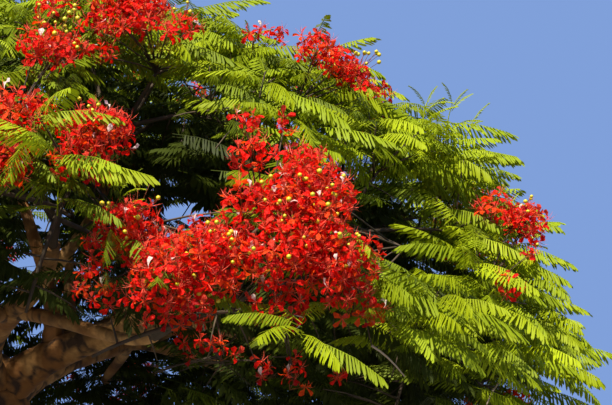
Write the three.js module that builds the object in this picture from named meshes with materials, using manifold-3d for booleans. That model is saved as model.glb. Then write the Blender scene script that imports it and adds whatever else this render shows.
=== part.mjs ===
// A flame tree: a short stout trunk with a root flare, limbs that spread like the ribs of an
// umbrella, and a wide low dome of drooping feathery fronds and heads of red blossom.
// Millimetres, +Z up. The origin is the middle of the flat cut under the trunk, at ground level.
import * as THREE from "three";
import { mergeVertices } from "three/addons/utils/BufferGeometryUtils.js";
import Module from "manifold-3d";

const wasm = await Module();
wasm.setup();

// The dome that the twig tips lie on: half an egg, wider than it is high
const CROWN_CENTRE_X = 220;
const CROWN_RADIUS = 3280;
const WIDEST_HEIGHT = 2120;
const DOME_RISE = 2340;
const HANG_BELOW = 0.09; // how far tips hang under the widest height, as a share of the rise
const TIP_COUNT = 104;
const TIP_UNEVENNESS = 60; // tips lie up to this far inside the dome
const CELL_DEPTH = 350; // how far inside the dome the middle of each mass lies
const FOOT_DEPTH = 960; // where a bough ends and the stem of its mass begins
const STEM_DEPTH = 560; // where that stem ends and its last twig begins

// Rows of masses round the dome. Level is 1 at the top of the dome and 0 where it is widest.
const ROWS = [
  { name: "rim", level: 0.12, count: 10, azimuth: -62 },
  { name: "shoulder", level: 0.47, count: 8, azimuth: -75 },
  { name: "top", level: 0.79, count: 5, azimuth: -60 },
  { name: "crest", level: 1, count: 1, azimuth: 0 },
];
// The rim is lifted here, so that the fork of the limbs shows from outside
const WINDOW = { azimuth: -80, halfWidth: 13, level: 0.16 };

// Blossom comes in patches. These are the ones on the sunny side, by place and reach.
const SUNNY_PATCHES = [
  { azimuth: -62, level: 0.17, reach: 680 },
  { azimuth: -77, level: 0.37, reach: 430 },
  { azimuth: -70, level: 0.64, reach: 420 },
  { azimuth: -46, level: 0.6, reach: 450 },
  { azimuth: -33, level: 0.29, reach: 300 },
];
// The rest are strewn over the other sides, clear of the sunny one
const STREWN_PATCHES = 30;
const SUNNY_SIDE = { azimuth: -55, halfWidth: 52 };
const STREWN_REACH = { least: 330, most: 620 };

const TRUNK_HEIGHT = 2330;
const TRUNK_LEAN = 90; // how far the top of the trunk stands out along +X
const TRUNK_SWAY = 38; // how far its middle bows out along +Y
const TRUNK_RADIUS = 238;
const TRUNK_TOP_RADIUS = 196;
const FLARE = 175; // how much wider the trunk is at the ground
const FLARE_HEIGHT = 330;
const BUTTRESSES = 5;
const CROTCH_HEIGHT = 300; // the trunk closes over this height, among the feet of its limbs
const LIMB_COUNT = 5;
const LIMB_AZIMUTH = -20;
const LIMB_DROP = 230; // how far under the trunk's top the limbs leave it
const LIMB_STAGGER = 70; // every other limb leaves this much lower
const LIMB_RADIUS = 118;
const LIMB_TIP_RADIUS = 44;
const BOUGH_TIP_RADIUS = 28;
const BOUGH_SHARE = 0.66; // a bough's radius where it leaves its limb, as a share of the limb's

const STEM_RADIUS = 26;
const TWIG_RADIUS = 17;
const TWIG_TIP_RADIUS = 10;
// A frond here stands for a spray of them, so it is larger than life
const FROND = { length: 700, width: 420, thickness: 14, droop: 0.34, fold: 0.16, spacing: 50 };
const FROND_SIZES = [1, 0.84, 0.7]; // tried in turn until the frond keeps to its own space
const FROND_TURNS = [0, 24, -24]; // and for each size, these turns round the twig
const LEAFY_FRONDS = 3;
const BLOSSOM_FRONDS = 2;
const BELOW_HEAD = 125; // the first frond under a head of blossom sits this far below the tip
const FROND_LIFT = 0.25; // how much fronds bend up out of their ring, towards the light
const HEAD_RADIUS = 225;
const HEAD_FLATNESS = 0.72;
const HEAD_ABOVE_TIP = 60;
const GAP = 0.3; // clear distance between two pieces that meet
const CLEARANCE = 12; // least distance from a leaf or twig to the wood of another piece
const MARGIN = 6; // least distance from a leaf or twig to the edge of its own space

const COLOURS = { bark: 0x6e5338, leaf: 0x6d8a1c, blossom: 0xc81c10 };
const GOLDEN_ANGLE = Math.PI * (3 - Math.sqrt(5));
const UP = new THREE.Vector3(0, 0, 1);
const radians = THREE.MathUtils.degToRad;

// A number from 0 to 1 that is always the same for the same three whole numbers
function chance(a, b, c = 0) {
  const wave = Math.sin(a * 12.9898 + b * 78.233 + c * 37.719) * 43758.5453;
  return wave - Math.floor(wave);
}

function angleBetween(a, b) {
  return Math.abs(Math.atan2(Math.sin(a - b), Math.cos(a - b)));
}

// How far the crown reaches on each side: a real crown is never quite round
function bulge(azimuth) {
  return 1 + 0.035 * Math.cos(2 * azimuth - 0.5) + 0.025 * Math.cos(3 * azimuth + 1.9);
}

function domePoint(level, azimuth, depth = 0) {
  const reach = (CROWN_RADIUS - depth) * Math.sqrt(1 - level * level) * bulge(azimuth);
  return new THREE.Vector3(
    CROWN_CENTRE_X + reach * Math.cos(azimuth),
    reach * Math.sin(azimuth),
    WIDEST_HEIGHT + (DOME_RISE - depth) * level,
  );
}

// The way the dome faces at a point on it or inside it
function outwards(point) {
  return new THREE.Vector3(
    (point.x - CROWN_CENTRE_X) / CROWN_RADIUS ** 2,
    point.y / CROWN_RADIUS ** 2,
    (point.z - WIDEST_HEIGHT) / DOME_RISE ** 2,
  ).normalize();
}

// A closed three.js geometry as a solid that can be cut and joined
function solidOf(geometry) {
  const bare = geometry.clone();
  bare.deleteAttribute("normal");
  bare.deleteAttribute("uv");
  const merged = mergeVertices(bare, 1e-3);
  return new wasm.Manifold(
    new wasm.Mesh({
      numProp: 3,
      vertProperties: new Float32Array(merged.attributes.position.array),
      triVerts: new Uint32Array(merged.index.array),
    }),
  );
}

function geometryOf(solid) {
  const mesh = solid.getMesh();
  return new THREE.BufferGeometry()
    .setAttribute("position", new THREE.BufferAttribute(new Float32Array(mesh.vertProperties), 3))
    .setIndex(new THREE.BufferAttribute(new Uint32Array(mesh.triVerts), 1));
}

// The largest of the closed bodies in a solid, without loose scraps or sealed hollows
function largestBody(solid) {
  return solid.decompose().reduce((best, body) => (body.volume() > best.volume() ? body : best));
}

// A round tapering tube: a cylinder whose rings are laid along a curve
function tube(curve, radiusAt, sides, segments) {
  const geometry = new THREE.CylinderGeometry(1, 1, 1, sides, segments);
  const frames = curve.computeFrenetFrames(segments, false);
  const position = geometry.attributes.position;
  for (let i = 0; i < position.count; i++) {
    const ring = Math.round((position.getY(i) + 0.5) * segments);
    const share = ring / segments;
    const radius = radiusAt(share);
    const point = curve
      .getPointAt(share)
      .addScaledVector(frames.binormals[ring], position.getX(i) * radius)
      .addScaledVector(frames.normals[ring], position.getZ(i) * radius);
    position.setXYZ(i, point.x, point.y, point.z);
  }
  return solidOf(geometry);
}

const taper = (from, to, power = 1) => (share) => from + (to - from) * share ** power;

// The trunk's own line, which leans further as it rises and bows to one side
function trunkMiddle(height) {
  const share = height / TRUNK_HEIGHT;
  return new THREE.Vector3(TRUNK_LEAN * share ** 2, TRUNK_SWAY * Math.sin(Math.PI * share), height);
}

// The trunk: buttressed and flared at the ground, swollen and closed among the feet of its limbs
function trunkSolid(grow = 0) {
  const SIDES = 20;
  const RINGS = 10;
  const taperAt = taper(TRUNK_RADIUS, TRUNK_TOP_RADIUS);
  const geometry = new THREE.CylinderGeometry(1, 1, 1, SIDES, RINGS);
  const position = geometry.attributes.position;
  for (let i = 0; i < position.count; i++) {
    const share = position.getY(i) + 0.5;
    const height = TRUNK_HEIGHT * share ** 1.2;
    const angle = Math.atan2(position.getX(i), position.getZ(i));
    const flare = Math.exp(-height / FLARE_HEIGHT);
    const ridges = 1 + (0.05 + 0.2 * flare) * Math.cos(BUTTRESSES * angle + 0.6);
    const swelling = 1 + 0.2 * Math.exp(-(((height - TRUNK_HEIGHT + CROTCH_HEIGHT) / 260) ** 2));
    const closed = Math.max(0, height - TRUNK_HEIGHT + CROTCH_HEIGHT) / CROTCH_HEIGHT;
    const closing = Math.sqrt(1 - 0.88 * closed ** 2);
    const radius = (taperAt(share) + FLARE * flare) * ridges * swelling * closing + grow;
    const middle = trunkMiddle(height);
    position.setXYZ(
      i,
      middle.x + position.getZ(i) * radius,
      middle.y + position.getX(i) * radius,
      height + (share === 1 ? grow : 0),
    );
  }
  return solidOf(geometry);
}

// The patches of blossom: the sunny ones, and a spiral by the golden angle over the other sides
const strewnPatches = Array.from({ length: STREWN_PATCHES }, (_, order) => ({
  azimuth: THREE.MathUtils.radToDeg((order + 0.4) * GOLDEN_ANGLE),
  level: 0.97 - (order + 0.5) / STREWN_PATCHES,
  reach: THREE.MathUtils.lerp(STREWN_REACH.least, STREWN_REACH.most, chance(order, 7)),
})).filter((patch) => {
  const aside = angleBetween(radians(patch.azimuth), radians(SUNNY_SIDE.azimuth));
  return aside > radians(SUNNY_SIDE.halfWidth);
});
const patches = [...SUNNY_PATCHES, ...strewnPatches].map((patch) => ({
  middle: domePoint(patch.level, radians(patch.azimuth)),
  reach: patch.reach,
}));

// The masses, row by row
const masses = ROWS.flatMap((row) =>
  Array.from({ length: row.count }, (_, place) => {
    const azimuth = radians(row.azimuth + (360 / row.count) * place);
    return {
      name: `${row.name}_${place + 1}`,
      level: row.level,
      azimuth,
      middle: domePoint(row.level, azimuth, CELL_DEPTH),
      foot: domePoint(row.level, azimuth, FOOT_DEPTH),
      stemEnd: domePoint(row.level, azimuth, STEM_DEPTH),
      tips: [],
    };
  }),
);

// The twig tips: a spiral by the golden angle spreads them evenly over the dome
for (let order = 0; order < TIP_COUNT; order++) {
  const level = 1 - ((order + 0.5) / TIP_COUNT) * (1 + HANG_BELOW);
  const azimuth = order * GOLDEN_ANGLE;
  const aside = angleBetween(azimuth, radians(WINDOW.azimuth));
  if (level < WINDOW.level && aside < radians(WINDOW.halfWidth)) continue;
  const point = domePoint(level, azimuth, TIP_UNEVENNESS * chance(order, 1));
  const inBloom = patches.some((patch) => patch.middle.distanceTo(point) < patch.reach);
  const mass = masses.reduce((best, other) =>
    other.middle.distanceTo(point) < best.middle.distanceTo(point) ? other : best,
  );
  mass.tips.push({ order, point, inBloom });
}

// Five limbs leave the trunk. Each runs on to a mass of its own, and carries boughs to others.
const limbs = Array.from({ length: LIMB_COUNT }, (_, order) => {
  const azimuth = radians(LIMB_AZIMUTH + (360 / LIMB_COUNT) * order);
  return { azimuth, name: `limb_${order + 1}` };
});
for (const mass of masses)
  mass.limb = limbs.reduce((best, limb) =>
    angleBetween(limb.azimuth, mass.azimuth) < angleBetween(best.azimuth, mass.azimuth)
      ? limb
      : best,
  );
for (const [order, limb] of limbs.entries()) {
  const wander = (mass) =>
    angleBetween(limb.azimuth, mass.azimuth) + 2 * Math.abs(mass.level - ROWS[1].level);
  limb.mass = masses
    .filter((mass) => mass.limb === limb)
    .reduce((best, mass) => (wander(mass) < wander(best) ? mass : best));
  const away = new THREE.Vector3(Math.cos(limb.azimuth), Math.sin(limb.azimuth), 0);
  const leavesAt = TRUNK_HEIGHT - LIMB_DROP - LIMB_STAGGER * (order % 2);
  const start = trunkMiddle(leavesAt).addScaledVector(away, 0.3 * TRUNK_TOP_RADIUS);
  const length = start.distanceTo(limb.mass.foot);
  limb.curve = new THREE.CubicBezierCurve3(
    start,
    start.clone().addScaledVector(away, 0.3 * length).addScaledVector(UP, 0.22 * length),
    limb.mass.foot.clone().addScaledVector(outwards(limb.mass.foot), -0.3 * length),
    limb.mass.foot,
  );
  limb.radiusAt = taper(LIMB_RADIUS, LIMB_TIP_RADIUS, 0.85);
  limb.solid = (grow) => tube(limb.curve, (share) => limb.radiusAt(share) + grow, 8, 8);
}

// The boughs: each leaves its limb nearer the trunk the higher its mass lies
const boughs = masses
  .filter((mass) => mass.limb.mass !== mass)
  .map((mass) => {
    const { limb } = mass;
    const station = 0.16 + 0.42 * (1 - mass.level) + 0.08 * chance(masses.indexOf(mass), 3);
    const start = limb.curve.getPointAt(station);
    const length = start.distanceTo(mass.foot);
    const leaving = mass.foot
      .clone()
      .sub(start)
      .normalize()
      .addScaledVector(limb.curve.getTangentAt(station), 0.7)
      .normalize();
    const curve = new THREE.CubicBezierCurve3(
      start,
      start.clone().addScaledVector(leaving, 0.36 * length),
      mass.foot.clone().addScaledVector(outwards(mass.foot), -0.3 * length),
      mass.foot,
    );
    const radiusAt = taper(BOUGH_SHARE * limb.radiusAt(station), BOUGH_TIP_RADIUS, 0.8);
    const solid = (grow) => tube(curve, (share) => radiusAt(share) + grow, 6, 5);
    return { name: `bough_${mass.name}`, mass, curve, solid };
  });

// Wood: each limb is cut clear of the trunk and of what was made before it
const wood = [{ name: "trunk", solid: trunkSolid(), grown: trunkSolid(GAP) }];
for (const limb of [...limbs, ...boughs]) {
  const clear = wood.reduce((solid, other) => solid.subtract(other.grown), limb.solid(0));
  limb.mass.bough = limb;
  wood.push({ name: limb.name, solid: largestBody(clear), grown: limb.solid(GAP) });
}
const woodSkins = [trunkSolid(CLEARANCE), ...[...limbs, ...boughs].map((b) => b.solid(CLEARANCE))];

// Whether two solids overlap, told first by their boxes
function meet(a, b) {
  const [p, q] = [a.boundingBox(), b.boundingBox()];
  const apart = [0, 1, 2].some((axis) => p.min[axis] > q.max[axis] || q.min[axis] > p.max[axis]);
  return !apart && !a.intersect(b).isEmpty();
}

// A mass keeps to the points that lie nearer its own middle than any other mass's
function keepsToItsSpace(solid, mass) {
  const { vertProperties } = solid.getMesh();
  for (let i = 0; i < vertProperties.length; i += 3) {
    const point = new THREE.Vector3(...vertProperties.subarray(i, i + 3));
    const own = mass.middle.distanceTo(point) + MARGIN;
    if (masses.some((other) => other !== mass && other.middle.distanceTo(point) < own)) return false;
  }
  return !woodSkins.some((skin) => meet(skin, solid));
}

// The line of a twig from a to b, which arches a little
function twigCurve(a, b) {
  const bend = a.clone().lerp(b, 0.55).addScaledVector(UP, 0.07 * a.distanceTo(b));
  return new THREE.QuadraticBezierCurve3(a, bend, b);
}

// One spray of leaves: an eight-sided blade, folded along its rib and drooping to its tip
function frondSolid(root, heading, axis, size) {
  const geometry = new THREE.OctahedronGeometry(1, 0);
  const across = new THREE.Vector3().crossVectors(axis, heading).normalize();
  const above = new THREE.Vector3().crossVectors(heading, across).normalize();
  const position = geometry.attributes.position;
  for (let i = 0; i < position.count; i++) {
    const share = (position.getX(i) + 1) / 2;
    const side = position.getY(i);
    const lift =
      (position.getZ(i) * FROND.thickness) / 2 -
      FROND.length * FROND.droop * size * share ** 2 -
      FROND.width * FROND.fold * size * Math.abs(side);
    const point = root
      .clone()
      .addScaledVector(heading, FROND.length * size * share)
      .addScaledVector(across, (side * FROND.width * size) / 2)
      .addScaledVector(above, lift);
    position.setXYZ(i, point.x, point.y, point.z);
  }
  return solidOf(geometry);
}

// A head of blossom: a rough ball, flattened along its axis
function headSolid(middle, axis, order) {
  const geometry = new THREE.IcosahedronGeometry(1, 0);
  const turn = new THREE.Quaternion().setFromUnitVectors(UP, axis);
  const position = geometry.attributes.position;
  for (let i = 0; i < position.count; i++) {
    const corner = new THREE.Vector3().fromBufferAttribute(position, i);
    const which = Math.round(corner.x * 3) + 7 * Math.round(corner.y * 3);
    const rough = 0.82 + 0.36 * chance(order, which, Math.round(corner.z * 3));
    corner.multiply(new THREE.Vector3(1, 1, HEAD_FLATNESS)).multiplyScalar(HEAD_RADIUS * rough);
    corner.applyQuaternion(turn).add(middle);
    position.setXYZ(i, corner.x, corner.y, corner.z);
  }
  return solidOf(geometry);
}

// The stem of a mass, in line with its bough and just clear of the bough's end
function stemOf(mass) {
  const along = mass.bough.curve.getTangentAt(1);
  const start = mass.foot.clone().addScaledVector(along, GAP);
  const bend = start.clone().addScaledVector(along, 0.4 * start.distanceTo(mass.stemEnd));
  return new THREE.QuadraticBezierCurve3(start, bend, mass.stemEnd);
}

// What one tip carries: fronds one above another round its twig, under a head where it blooms
function growthAt(tip, twig, mass) {
  const axis = outwards(tip.point).addScaledVector(UP, 0.8).normalize();
  const side = new THREE.Vector3().crossVectors(axis, new THREE.Vector3(0, 1, 0.2)).normalize();
  const count = tip.inBloom ? BLOSSOM_FRONDS : LEAFY_FRONDS;
  const grown = [];
  for (let n = 0; n < count; n++) {
    const below = FROND.spacing * (n + 0.4) + (tip.inBloom ? BELOW_HEAD : 0);
    const root = twig.getPointAt(1 - below / twig.getLength());
    const place = n + 0.35 * chance(tip.order, n, 4);
    const turn = tip.order * GOLDEN_ANGLE + (2 * Math.PI * place) / count;
    const pitch = radians(32 - 8 * n + 10 * chance(tip.order, n, 5));
    const headingAt = (more) =>
      side
        .clone()
        .applyAxisAngle(axis, turn + radians(more))
        .multiplyScalar(Math.cos(pitch))
        .addScaledVector(axis, Math.sin(pitch))
        .addScaledVector(UP, FROND_LIFT)
        .normalize();
    const tries = FROND_SIZES.flatMap((size) => FROND_TURNS.map((more) => ({ size, more })));
    for (const { size, more } of tries) {
      const frond = frondSolid(root, headingAt(more), axis, size);
      if (!keepsToItsSpace(frond, mass)) continue;
      grown.push(frond);
      break;
    }
  }
  if (tip.inBloom) {
    const middle = tip.point.clone().addScaledVector(axis, HEAD_ABOVE_TIP);
    const head = headSolid(middle, axis, tip.order);
    if (keepsToItsSpace(head, mass)) grown.push(head);
  }
  return grown;
}

function massSolid(mass) {
  const stem = stemOf(mass);
  const pieces = [tube(stem, taper(STEM_RADIUS, TWIG_RADIUS), 5, 2)];
  for (const [place, tip] of mass.tips.entries()) {
    const leavesAt = 0.45 + (0.5 * (place + 0.5)) / mass.tips.length;
    const twig = twigCurve(stem.getPointAt(leavesAt), tip.point);
    const solid = tube(twig, taper(TWIG_RADIUS, TWIG_TIP_RADIUS), 3, 2);
    if (keepsToItsSpace(solid, mass)) pieces.push(solid, ...growthAt(tip, twig, mass));
  }
  return largestBody(wasm.Manifold.union(pieces));
}

function meshOf(name, solid, colour, roughness) {
  const material = new THREE.MeshStandardMaterial({ color: colour, roughness, metalness: 0 });
  const mesh = new THREE.Mesh(geometryOf(solid), material);
  mesh.name = name;
  return mesh;
}

const tree = new THREE.Group();
tree.name = "flame_tree";
for (const { name, solid } of wood) tree.add(meshOf(name, solid, COLOURS.bark, 0.9));
for (const mass of masses) {
  const blooming = mass.tips.filter((tip) => tip.inBloom).length;
  const kind = blooming > mass.tips.length / 2 ? "blossom" : "leaf";
  tree.add(meshOf(`${kind}_mass_${mass.name}`, massSolid(mass), COLOURS[kind], 0.6));
}

export default tree;
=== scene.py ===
import math

import bpy
import numpy as np
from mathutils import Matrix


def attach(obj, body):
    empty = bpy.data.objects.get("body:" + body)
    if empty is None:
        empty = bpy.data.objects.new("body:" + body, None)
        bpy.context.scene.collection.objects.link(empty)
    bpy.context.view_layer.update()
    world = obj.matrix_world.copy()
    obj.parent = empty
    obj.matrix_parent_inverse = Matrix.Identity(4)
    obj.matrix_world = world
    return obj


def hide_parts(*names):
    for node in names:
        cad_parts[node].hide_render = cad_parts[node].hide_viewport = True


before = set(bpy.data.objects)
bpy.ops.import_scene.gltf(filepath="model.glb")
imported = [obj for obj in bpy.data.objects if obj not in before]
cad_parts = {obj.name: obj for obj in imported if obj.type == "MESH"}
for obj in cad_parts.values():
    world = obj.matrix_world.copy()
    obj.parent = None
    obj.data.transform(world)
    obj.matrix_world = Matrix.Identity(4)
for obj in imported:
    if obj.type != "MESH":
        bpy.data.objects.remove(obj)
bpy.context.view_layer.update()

# The crown's form
# The tree grows as a wide low dome on a short trunk. Its masses of foliage sit in rows round the
# dome, and each hangs on a stem whose foot lies well inside it.
CENTRE_X = 0.22
RADIUS = 3.28
WIDEST = 2.12  # height above the ground at which the crown is widest
RISE = 2.34
TWO_WAVES = 0.035  # how much the outline swells in two waves a turn
THREE_WAVES = 0.025  # and in three
FOOT_DEPTH = 0.96
# Name, level, count and first bearing of each row of masses
ROWS = [
    ("rim", 0.12, 10, -62),
    ("shoulder", 0.47, 8, -75),
    ("top", 0.79, 5, -60),
    ("crest", 1.0, 1, 0),
]


def unit(vectors):
    """Vectors divided by their own lengths"""
    return vectors / np.maximum(np.linalg.norm(vectors, axis=-1, keepdims=True), 1e-9)


def dome(level, azimuth, depth=0.0):
    """Points of a half egg: its reach falls off as the root of one less the level squared, and
    swells by two small waves of the bearing, and its height rises evenly with the level"""
    level, azimuth, depth = np.broadcast_arrays(level, azimuth, depth)
    waves = 1 + TWO_WAVES * np.cos(2 * azimuth - 0.5) + THREE_WAVES * np.cos(3 * azimuth + 1.9)
    reach = (RADIUS - depth) * np.sqrt(np.maximum(0, 1 - level**2)) * waves
    height = WIDEST + (RISE - depth) * level
    return np.stack([CENTRE_X + reach * np.cos(azimuth), reach * np.sin(azimuth), height], -1)


def outwards(points):
    """The way the dome faces: each offset from its middle over the square of that half axis"""
    offsets = points - np.array([CENTRE_X, 0, WIDEST])
    return unit(offsets / np.array([RADIUS**2, RADIUS**2, RISE**2]))


mass_names = []
mass_level = []
mass_azimuth = []
for row_name, row_level, row_count, row_azimuth in ROWS:
    for place in range(row_count):
        mass_names.append(f"{row_name}_{place + 1}")
        mass_level.append(row_level)
        mass_azimuth.append(math.radians(row_azimuth + 360 / row_count * place))
mass_level = np.array(mass_level)
mass_azimuth = np.array(mass_azimuth)
mass_foot = dome(mass_level, mass_azimuth, FOOT_DEPTH)

# The trunk
# One short stout bole of grey-brown bark, smooth but wrinkled where it forks, with a buttressed
# flare at the ground. It stands in the ground on its own flat cut.
TRUNK_HEIGHT = 2.33
TRUNK_LEAN = 0.09
TRUNK_SWAY = 0.038
TRUNK_RADIUS = 0.238
TRUNK_TOP_RADIUS = 0.196
FLARE = 0.175
FLARE_HEIGHT = 0.33
BUTTRESSES = 5
RIDGE = 0.05  # how far a ridge stands out above the flare, as a share of the radius
RIDGE_IN_FLARE = 0.2
CROTCH_HEIGHT = 0.3
CROTCH_SWELLING = 0.2
CROTCH_SPREAD = 0.26
CROTCH_CLOSING = 0.88
WRINKLED_HEIGHT = 1.95
WRINKLED_SPREAD = 0.4
TRUNK_SIDES = 176
TRUNK_RINGS = 230
TRUNK_RELIEF = 0.009
FOLDS_A_METRE = 17
PORES_A_METRE = 55
SPECKS_A_METRE = 90  # the fine roughness, along the limb and round it alike
BARK_PALE = (0.64, 0.34, 0.100, 1)
BARK_BROWN = (0.220, 0.084, 0.013, 1)
# The last bark colour is painted shade for the grooves of the relief
BARK_GROOVE_SHADE = (0.030, 0.013, 0.004, 1)


class Shade:
    """A socket of a finish, on which sums are written as plain arithmetic"""

    def __init__(self, finish, socket):
        self.finish = finish
        self.socket = socket

    def math(self, operation, *values):
        return self.finish.out("ShaderNodeMath", 0, {"operation": operation}, dict(enumerate(values)))

    def __add__(self, other):
        return self.math("ADD", self, other)

    def __sub__(self, other):
        return self.math("SUBTRACT", self, other)

    def __rsub__(self, other):
        return self.math("SUBTRACT", other, self)

    def __mul__(self, other):
        return self.math("MULTIPLY", self, other)

    __radd__ = __add__
    __rmul__ = __mul__

    def between(self, low, high):
        """0 below low, 1 above high, and even between them"""
        share = (self - low) * (1 / (high - low))
        return self.math("MAXIMUM", self.math("MINIMUM", share, 1.0), 0.0)


class Finish:
    """One material, whose nodes all come from one method"""

    def __init__(self, name):
        self.material = bpy.data.materials.new(name)
        self.material.use_nodes = True
        self.tree = self.material.node_tree
        self.tree.nodes.clear()

    def node(self, kind, settings=(), sockets=()):
        """A new node, with its settings made first and its sockets filled or linked"""
        node = self.tree.nodes.new(kind)
        for key, value in dict(settings).items():
            setattr(node, key, value)
        for key, value in dict(sockets).items():
            if isinstance(value, Shade):
                self.tree.links.new(value.socket, node.inputs[key])
            else:
                node.inputs[key].default_value = value
        return node

    def out(self, kind, output, settings=(), sockets=()):
        """One output of a new node"""
        return Shade(self, self.node(kind, settings, sockets).outputs[output])

    def place(self):
        return self.out("ShaderNodeTexCoord", "Object")

    def noise(self, place, scale, detail=3.0, roughness=0.55):
        sockets = {"Vector": place, "Scale": scale, "Detail": detail, "Roughness": roughness}
        return self.out("ShaderNodeTexNoise", "Fac", (), sockets)

    def mix(self, share, first, second):
        """A blend of two colours by a share"""
        return self.out("ShaderNodeMix", 2, {"data_type": "RGBA"}, {0: share, 6: first, 7: second})

    def bump(self, height, strength, distance):
        sockets = {"Height": height, "Strength": strength, "Distance": distance}
        return self.out("ShaderNodeBump", "Normal", (), sockets)

    def principled(self, sockets):
        return self.out("ShaderNodeBsdfPrincipled", "BSDF", (), sockets)

    def made(self, shader):
        """The finished material, once its last shader is linked to the surface"""
        self.node("ShaderNodeOutputMaterial", (), {"Surface": shader})
        return self.material

    def lit_through(self, shader, colour, share):
        """The finished material, where a share of the light comes through from behind"""
        glow = self.out("ShaderNodeBsdfTranslucent", "BSDF", (), {"Color": colour})
        return self.made(self.out("ShaderNodeMixShader", 0, (), {0: share, 1: shader, 2: glow}))


def bark_finish():
    """Grey-brown bark: pale weathered patches, fine grain, and painted shade in the wrinkles where the
    relief is low
    """
    bark = Finish("grey_brown_bark")
    place = bark.place()
    relief = bark.out("ShaderNodeAttribute", "Fac", {"attribute_name": "relief"})
    grain = bark.noise(place, 60.0, 4.0, 0.65)
    weathered = bark.mix(bark.noise(place, 3.4, 4.0, 0.6).between(0.42, 0.66), BARK_BROWN, BARK_PALE)
    speckled = bark.mix(grain.between(0.30, 0.75) * 0.5, weathered, BARK_BROWN)
    # Darker where the relief is low: painted shade in the bark's grooves and wrinkles
    colour = bark.mix((1 - relief).between(0.52, 0.90) * 0.95, speckled, BARK_GROOVE_SHADE)
    sockets = {"Base Color": colour, "Roughness": 0.9 - 0.1 * grain}
    return bark.made(bark.principled(sockets | {"Normal": bark.bump(grain, 0.6, 0.006)}))


def chance(a, b, c=0):
    """A number from 0 to 1 for each three whole numbers: the fraction of a large sine of them"""
    wave = np.sin(a * 12.9898 + b * 78.233 + c * 37.719) * 43758.5453
    return wave - np.floor(wave)


def value_noise(points):
    """Smooth noise from -1 to 1: a chance at each corner of a grid of cells, eased across the cell"""
    cell = np.floor(points)
    part = points - cell
    ease = part * part * (3 - 2 * part)
    total = 0.0
    for corner in np.ndindex(2, 2, 2):
        weights = np.where(corner, ease, 1 - ease).prod(-1)
        corners = cell + np.array(corner)
        total = total + weights * chance(corners[..., 0], corners[..., 1], corners[..., 2] + 5)
    return 2 * total - 1


def bark_relief(angle, radius, length, wrinkling):
    """Height of bark from about -1 to 1: slow swellings, grooves that run round the limb where a
    noise passes through nothing and are deepest where it wrinkles, short level pores, and a fine
    roughness. All of it joins up round the limb."""
    east = np.cos(angle) * radius
    north = np.sin(angle) * radius
    slow = value_noise(np.stack([east * 9, north * 9, length * 4], -1))
    folds = value_noise(np.stack([east * 7, north * 7, (length + 0.03 * slow) * FOLDS_A_METRE], -1))
    grooves = np.maximum(0, 1 - 4 * np.abs(folds))
    pores = value_noise(np.stack([east * 26, north * 26, length * PORES_A_METRE], -1))
    fine = value_noise(np.stack([east, north, length], -1) * SPECKS_A_METRE)
    return 0.45 * slow - wrinkling * grooves + 0.30 * pores + 0.16 * fine


def new_piece(name, shape, finish, stands_for, smooth=True):
    """A mesh from points and triangles, which rides on the tree and stands for some of its nodes"""
    points, triangles = shape
    mesh = bpy.data.meshes.new(name)
    mesh.vertices.add(len(points))
    mesh.vertices.foreach_set("co", np.ascontiguousarray(points, np.float32).ravel())
    mesh.loops.add(triangles.size)
    mesh.loops.foreach_set("vertex_index", np.ascontiguousarray(triangles, np.int32).ravel())
    mesh.polygons.add(len(triangles))
    mesh.polygons.foreach_set("loop_start", np.arange(0, triangles.size, 3, dtype=np.int32))
    mesh.polygons.foreach_set("use_smooth", np.full(len(triangles), smooth))
    mesh.update(calc_edges=True)
    mesh.materials.append(finish)
    piece = bpy.data.objects.new(name, mesh)
    bpy.context.scene.collection.objects.link(piece)
    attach(piece, "root")
    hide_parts(*stands_for)
    return piece


def wall_faces(rows, sides):
    """Triangles between neighbouring rings of points, facing out"""
    here = np.arange(sides)
    ahead = (here + 1) % sides
    first = (np.arange(rows - 1) * sides)[:, None]
    corners = [first + here, first + ahead, first + sides + ahead, first + sides + here]
    lower = np.stack([corners[0], corners[1], corners[2]], -1).reshape(-1, 3)
    upper = np.stack([corners[0], corners[2], corners[3]], -1).reshape(-1, 3)
    return np.concatenate([lower, upper])


def bark_skin(name, rings, height, finish, node):
    """A closed skin over rings of points, with a middle point at each end, and its relief kept
    as a number from 0 to 1 at each point"""
    rows, sides = rings.shape[:2]
    points = np.concatenate([rings.reshape(-1, 3), [rings[0].mean(0)], [rings[-1].mean(0)]])
    here = np.arange(sides)
    ahead = (here + 1) % sides
    last = (rows - 1) * sides
    foot = np.stack([np.full(sides, rows * sides), ahead, here], -1)
    head = np.stack([np.full(sides, rows * sides + 1), last + here, last + ahead], -1)
    faces = np.concatenate([wall_faces(rows, sides), foot, head])
    piece = new_piece(name, (points, faces), finish, [node])
    relief = piece.data.attributes.new("relief", "FLOAT", "POINT")
    values = np.concatenate([np.clip(0.5 + 0.5 * height, 0, 1).ravel(), [0.5, 0.5]])
    relief.data.foreach_set("value", values.astype(np.float32))


def blend(low, high, share):
    """A number part of the way from low to high"""
    return low + (high - low) * share


def eased(value, low, high):
    """0 below low, 1 above high, and a smooth step between them"""
    share = np.clip((value - low) / (high - low), 0, 1)
    return share * share * (3 - 2 * share)


def trunk_middle(height):
    """The trunk's own line: it leans with the square of the height and bows by half a sine"""
    share = height / TRUNK_HEIGHT
    return np.stack([TRUNK_LEAN * share**2, TRUNK_SWAY * np.sin(np.pi * share), height], -1)


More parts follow.
